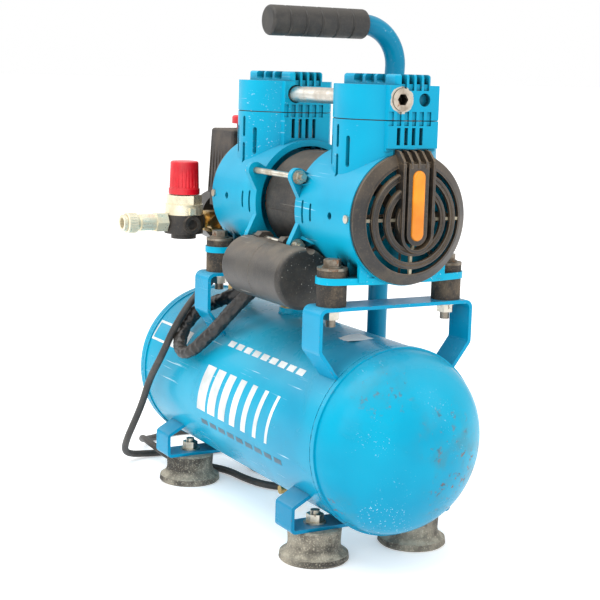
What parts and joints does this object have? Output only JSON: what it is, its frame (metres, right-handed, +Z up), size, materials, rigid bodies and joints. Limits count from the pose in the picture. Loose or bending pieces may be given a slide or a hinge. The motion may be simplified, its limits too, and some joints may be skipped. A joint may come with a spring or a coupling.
{
  "type": "airbrush compressor",
  "caption": "Portable oil-free air compressor: paired piston pump heads on rubber mounts over a horizontal tank, with handle, regulator, gauge, quick coupler and mains cord.",
  "frame": {"origin": "middle of the four feet, on the floor they stand on", "axes": "+X along the tank towards the end with the larger outer fan cover view, +Z up, -Y the side with the capacitor housing and the air outlet"},
  "size_m": [0.5064, 0.3111, 0.46],
  "materials": {
    "tank_paint": "gloss",
    "pump_paint": "gloss",
    "handle_paint": "gloss",
    "foot_rubber": "matt, dusty",
    "mount_rubber": "matt, dusty",
    "grip_rubber": "satin",
    "black_plastic": "matt, dusty",
    "grey_plastic": "matt, dusty",
    "red_plastic": "satin",
    "orange_plastic": "gloss",
    "zinc": "zinc plated",
    "rusty_steel": "dull, rusty",
    "plain_steel": "machined",
    "nickel_plate": "nickel plated",
    "black_steel": "matt",
    "copper_wire": "enamelled copper",
    "cast_aluminium": "satin",
    "brass_metal": "satin",
    "sleeve_vinyl": "satin, creased",
    "cord_rubber": "satin, dusty",
    "dial_white": "satin",
    "needle_red": "satin",
    "clear_lens": "clear"
  },
  "bodies": {
    "frame": {"tank_barrel": "tank_paint", "tank_domes": "tank_paint", "pump_brackets": "tank_paint", "foot_brackets": "tank_paint", "rubber_feet": "foot_rubber", "foot_bolts": "zinc", "drain_valve_body": "brass_metal", "handle_tube": "handle_paint", "handle_grip": "grip_rubber", "mount_rubbers": "mount_rubber", "mount_bolts": "rusty_steel", "crankcase_front": "pump_paint", "crankcase_rear": "pump_paint", "head_cover_front": "pump_paint", "head_cover_rear": "pump_paint", "fan_cover_front": "black_plastic", "fan_cover_rear": "black_plastic", "accent_inserts": "orange_plastic", "valve_plates": "plain_steel", "cylinder_liners": "cast_aluminium", "port_plugs": "rusty_steel", "link_pipe": "cast_aluminium", "motor_stator": "black_steel", "stator_windings": "copper_wire", "shaft_bearings": "plain_steel", "tie_rods": "zinc", "hex_nuts": "zinc", "barrel_screws": "zinc", "capacitor_housing_front": "black_plastic", "capacitor_housing_rear": "black_plastic", "capacitor": "cast_aluminium", "capacitor_clips": "black_plastic", "check_valve": "brass_metal", "delivery_pipe": "cast_aluminium", "manifold": "brass_metal", "brass_tee": "brass_metal", "safety_valve_body": "brass_metal", "pressure_switch_base": "black_plastic", "pressure_switch_cover": "grey_plastic", "cable_gland": "black_plastic", "regulator_body": "black_plastic", "regulator_bonnet": "black_plastic", "gauge_case": "black_steel", "gauge_dial": "dial_white", "gauge_lens": "clear_lens", "coupler_body": "nickel_plate", "motor_lead_sleeve": "sleeve_vinyl", "power_cord": "cord_rubber", "power_cord_coil": "cord_rubber", "power_plug": "cord_rubber"},
    "crank": {"motor_rotor": "plain_steel", "cooling_fans": "black_plastic"},
    "piston_f": {"piston_front": "cast_aluminium"},
    "piston_r": {"piston_rear": "cast_aluminium"},
    "drain_knob": {"drain_valve_knob": "brass_metal"},
    "regulator": {"regulator_knob": "red_plastic"},
    "needle": {"gauge_needle": "needle_red"},
    "sleeve": {"coupler_sleeve": "nickel_plate"},
    "switch": {"switch_knob": "red_plastic"},
    "safety": {"safety_valve_pin": "plain_steel"}
  },
  "joints": [
    {"name": "crank_spin", "type": "hinge", "parent": "frame", "child": "crank", "pos_m": [0.0493, 0, 0.2904], "axis": [1, 0, 0], "continuous": true},
    {"name": "piston_front_stroke", "type": "slide", "parent": "frame", "child": "piston_f", "axis": [0, 0, 1], "range_m": [-0.006, 0.006]},
    {"name": "piston_rear_stroke", "type": "slide", "parent": "frame", "child": "piston_r", "axis": [0, 0, 1], "range_m": [-0.006, 0.006]},
    {"name": "drain_turn", "type": "hinge", "parent": "frame", "child": "drain_knob", "pos_m": [0, 0, 0.014], "axis": [0, 0, 1], "range_deg": [0, 360]},
    {"name": "regulator_turn", "type": "hinge", "parent": "frame", "child": "regulator", "pos_m": [-0.122, -0.061, 0.29], "axis": [0, 0, 1], "range_deg": [-720, 720]},
    {"name": "needle_swing", "type": "hinge", "parent": "frame", "child": "needle", "pos_m": [-0.175, 0, 0.259], "axis": [-1, 0, 0], "range_deg": [0, 270]},
    {"name": "coupler_release", "type": "slide", "parent": "frame", "child": "sleeve", "axis": [0, 1, 0], "range_m": [0, 0.003], "stiffness_N_per_m": 600},
    {"name": "switch_press", "type": "slide", "parent": "frame", "child": "switch", "axis": [0, 0, 1], "range_m": [-0.004, 0]},
    {"name": "safety_pull", "type": "slide", "parent": "frame", "child": "safety", "axis": [0, 1, 0], "range_m": [0, 0.002], "stiffness_N_per_m": 800}
  ]
}
